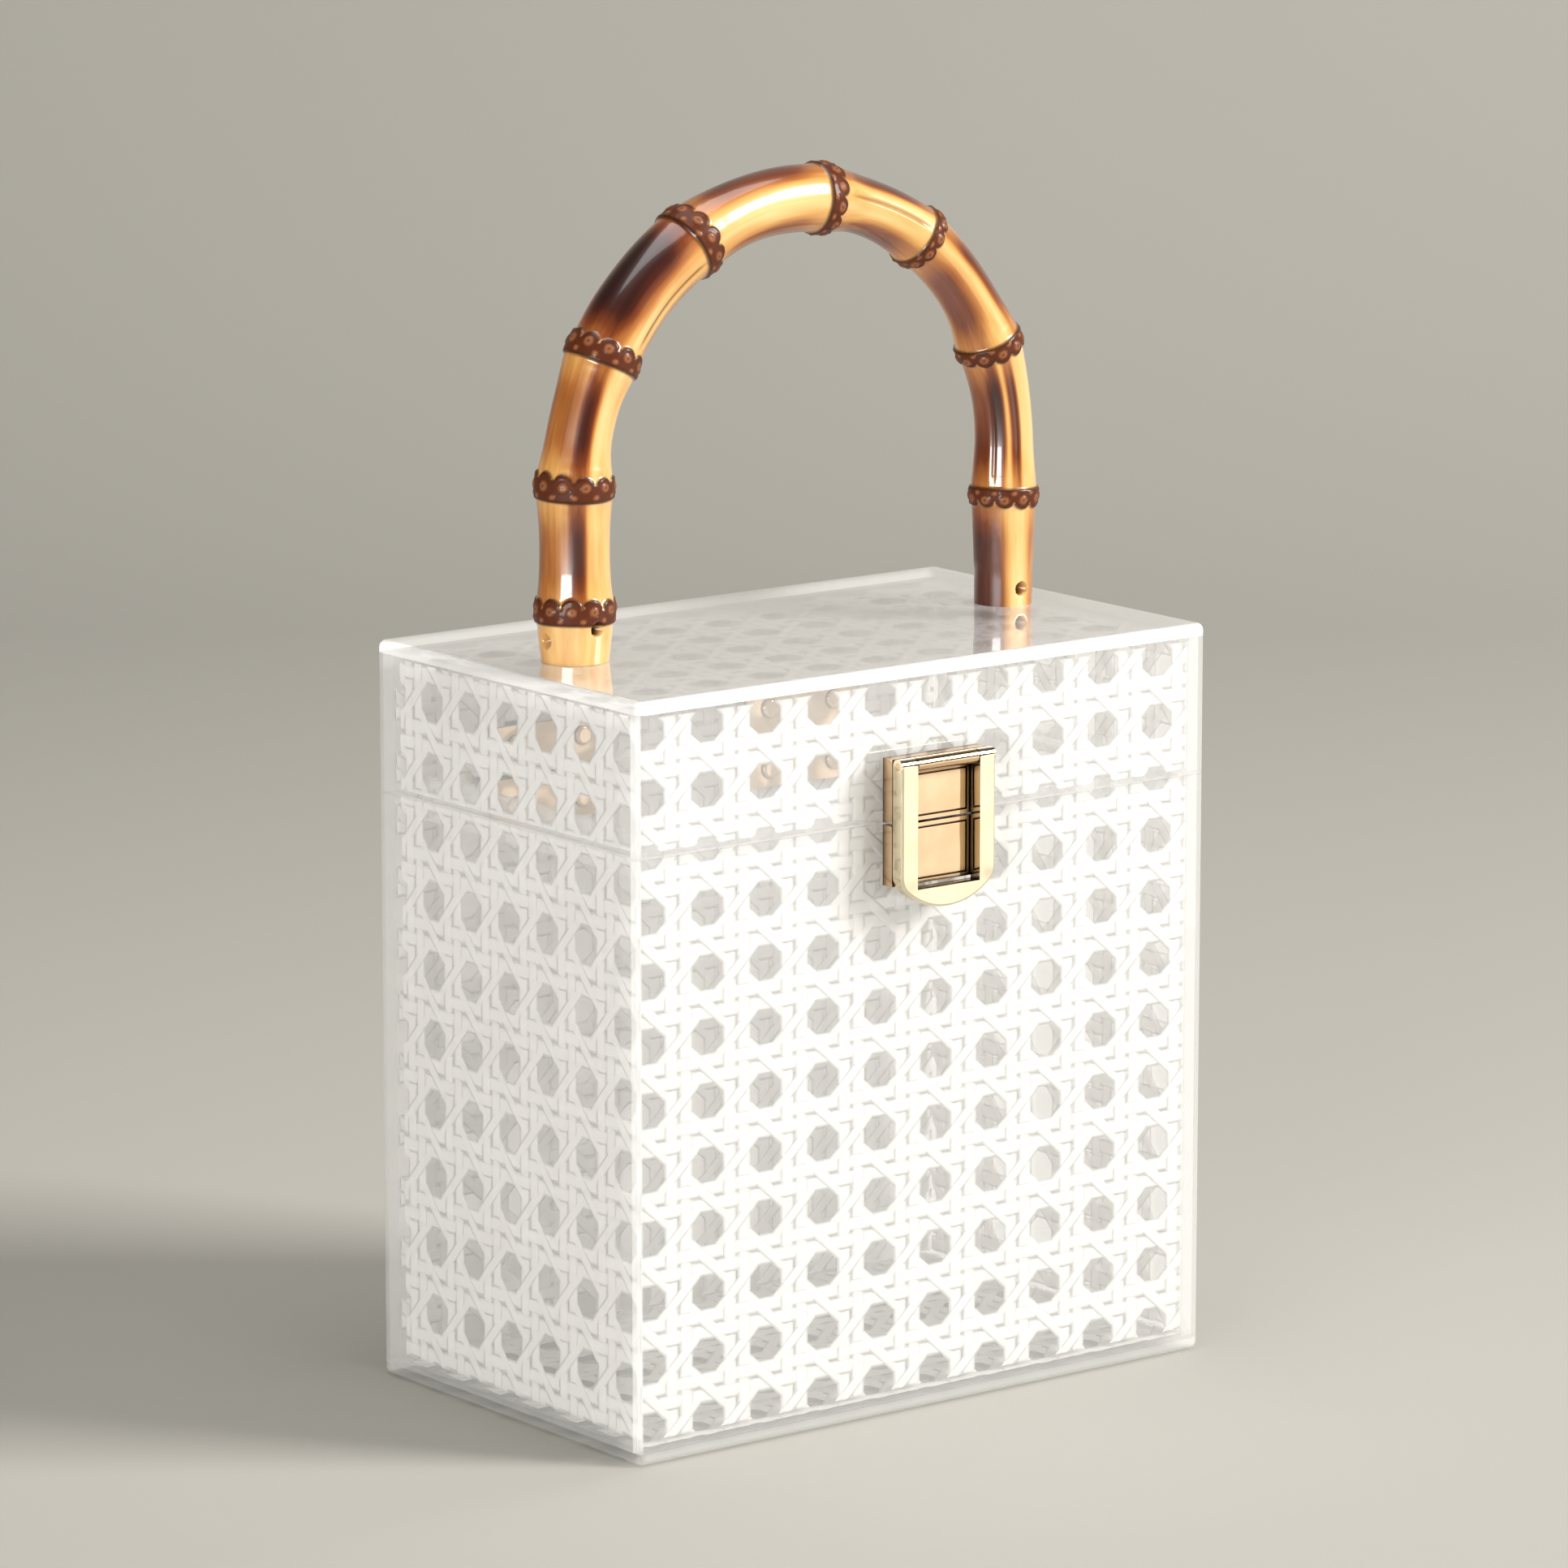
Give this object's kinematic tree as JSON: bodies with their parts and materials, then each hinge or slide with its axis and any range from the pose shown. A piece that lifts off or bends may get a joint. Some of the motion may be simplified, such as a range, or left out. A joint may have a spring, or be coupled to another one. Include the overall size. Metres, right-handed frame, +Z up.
{
  "type": "box bag",
  "caption": "Rigid clear box bag lined with open-weave cane, with a hinged lid, a swing clasp and a bamboo top handle.",
  "frame": {"origin": "centre of the underside of the bottom panel, on the surface the bag stands on", "axes": "+X to the bag's right seen from the front, +Y towards the hinged back, +Z up; the clasp faces -Y"},
  "size_m": [0.17, 0.1166, 0.2921],
  "materials": {
    "clear_acrylic": "polished clear acrylic sheet",
    "white_cane": "white lacquered cane webbing",
    "gold_plate": "polished pale gold plate",
    "bamboo": "lacquered, flame-scorched bamboo root",
    "screw_steel": "zinc-plated steel"
  },
  "bodies": {
    "body": {"body_back_cane": "white_cane", "body_back_panel": "clear_acrylic", "body_front_cane": "white_cane", "body_front_panel": "clear_acrylic", "body_left_cane": "white_cane", "body_left_panel": "clear_acrylic", "body_right_cane": "white_cane", "body_right_panel": "clear_acrylic", "bottom_cane": "white_cane", "bottom_panel": "clear_acrylic", "clasp_catch_block": "gold_plate", "clasp_catch_screws": "gold_plate", "hinge_body_rivets": "gold_plate", "left_hinge_body_backing_plate": "gold_plate", "left_hinge_body_leaf": "gold_plate", "left_hinge_pin": "gold_plate", "right_hinge_body_backing_plate": "gold_plate", "right_hinge_body_leaf": "gold_plate", "right_hinge_pin": "gold_plate", "rim_lip_front": "clear_acrylic", "rim_lip_left": "clear_acrylic", "rim_lip_right": "clear_acrylic"},
    "lid": {"bamboo_handle": "bamboo", "clasp_lid_block": "gold_plate", "clasp_lid_screws": "gold_plate", "clasp_pin": "gold_plate", "handle_screws": "screw_steel", "handle_washers": "screw_steel", "hinge_lid_rivets": "gold_plate", "left_hinge_lid_backing_plate": "gold_plate", "left_hinge_lid_leaf": "gold_plate", "lid_back_cane": "white_cane", "lid_back_panel": "clear_acrylic", "lid_front_cane": "white_cane", "lid_front_panel": "clear_acrylic", "lid_left_cane": "white_cane", "lid_left_panel": "clear_acrylic", "lid_right_cane": "white_cane", "lid_right_panel": "clear_acrylic", "lid_top_cane": "white_cane", "lid_top_panel": "clear_acrylic", "right_hinge_lid_backing_plate": "gold_plate", "right_hinge_lid_leaf": "gold_plate"},
    "clasp": {"clasp_frame": "gold_plate"}
  },
  "joints": [
    {"name": "lid_hinge", "type": "hinge", "parent": "body", "child": "lid", "pos_m": [0, 0.0548, 0.14335], "axis": [-1, 0, 0], "range_deg": [0, 165]},
    {"name": "clasp_swing", "type": "hinge", "parent": "lid", "child": "clasp", "pos_m": [0, -0.05755, 0.15755], "axis": [-1, 0, 0], "range_deg": [0, 165]}
  ]
}
